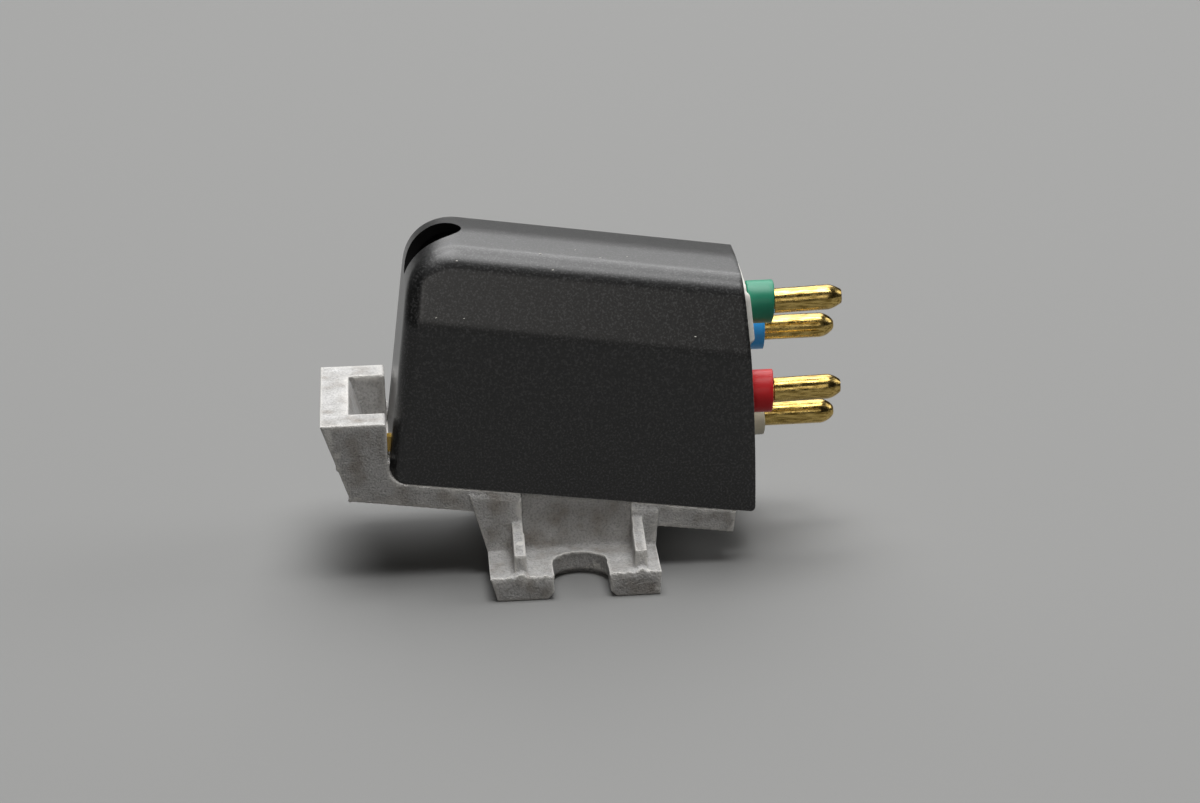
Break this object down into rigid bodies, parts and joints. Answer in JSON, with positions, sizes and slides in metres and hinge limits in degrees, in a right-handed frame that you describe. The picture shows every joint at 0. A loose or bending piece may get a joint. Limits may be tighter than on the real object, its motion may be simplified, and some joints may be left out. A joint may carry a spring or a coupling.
{
  "type": "phono cartridge",
  "caption": "Moving coil phono cartridge with a cast slotted mounting frame, a thin black metal cover and gold signal pins; its stylus is broken off.",
  "frame": {"origin": "middle of the mounting face, midway between the two screws", "axes": "+Z away from the mounting face towards the record side, -X towards the stylus end, +X towards the signal pins, -Y the side with the green and red pins"},
  "size_m": [0.0252, 0.0162, 0.016],
  "materials": {
    "cast_alloy": "raw sand-textured casting",
    "black_paint": "fine-grained matt black paint",
    "board": "off-white moulded board",
    "black_plastic": "matt black",
    "magnet": "nickel-plated, ground faces",
    "soft_iron": "ground, dull",
    "copper": "enamelled copper wire",
    "damper_rubber": "matt",
    "steel_wire": "drawn",
    "sleeve_brass": "turned",
    "dark_steel": "blackened",
    "alloy_tube": "drawn tube, broken end",
    "adhesive": "clear amber",
    "gold": "gold-plated, polished",
    "green_plastic": "satin",
    "blue_plastic": "satin",
    "red_plastic": "satin",
    "white_plastic": "satin, ivory",
    "green_lead": "enamel",
    "blue_lead": "enamel",
    "red_lead": "enamel",
    "white_lead": "enamel"
  },
  "bodies": {
    "root": {"mounting_frame": "cast_alloy", "body_cover": "black_paint", "terminal_board": "board", "pin_green": "gold", "pin_blue": "gold", "pin_red": "gold", "pin_white": "gold", "sleeve_green": "green_plastic", "sleeve_blue": "blue_plastic", "sleeve_red": "red_plastic", "sleeve_white": "white_plastic", "generator_cradle": "black_plastic", "magnet": "magnet", "front_pole": "soft_iron", "rear_yoke": "soft_iron", "rear_pole": "soft_iron", "coil_former": "soft_iron", "left_coil": "copper", "right_coil": "copper", "damper": "damper_rubber", "tie_wire": "steel_wire", "suspension_sleeve": "sleeve_brass", "set_screw": "dark_steel", "cantilever_stub": "alloy_tube", "lead_green": "green_lead", "lead_blue": "blue_lead", "lead_red": "red_lead", "lead_white": "white_lead", "adhesive_bead": "adhesive"}
  },
  "joints": []
}
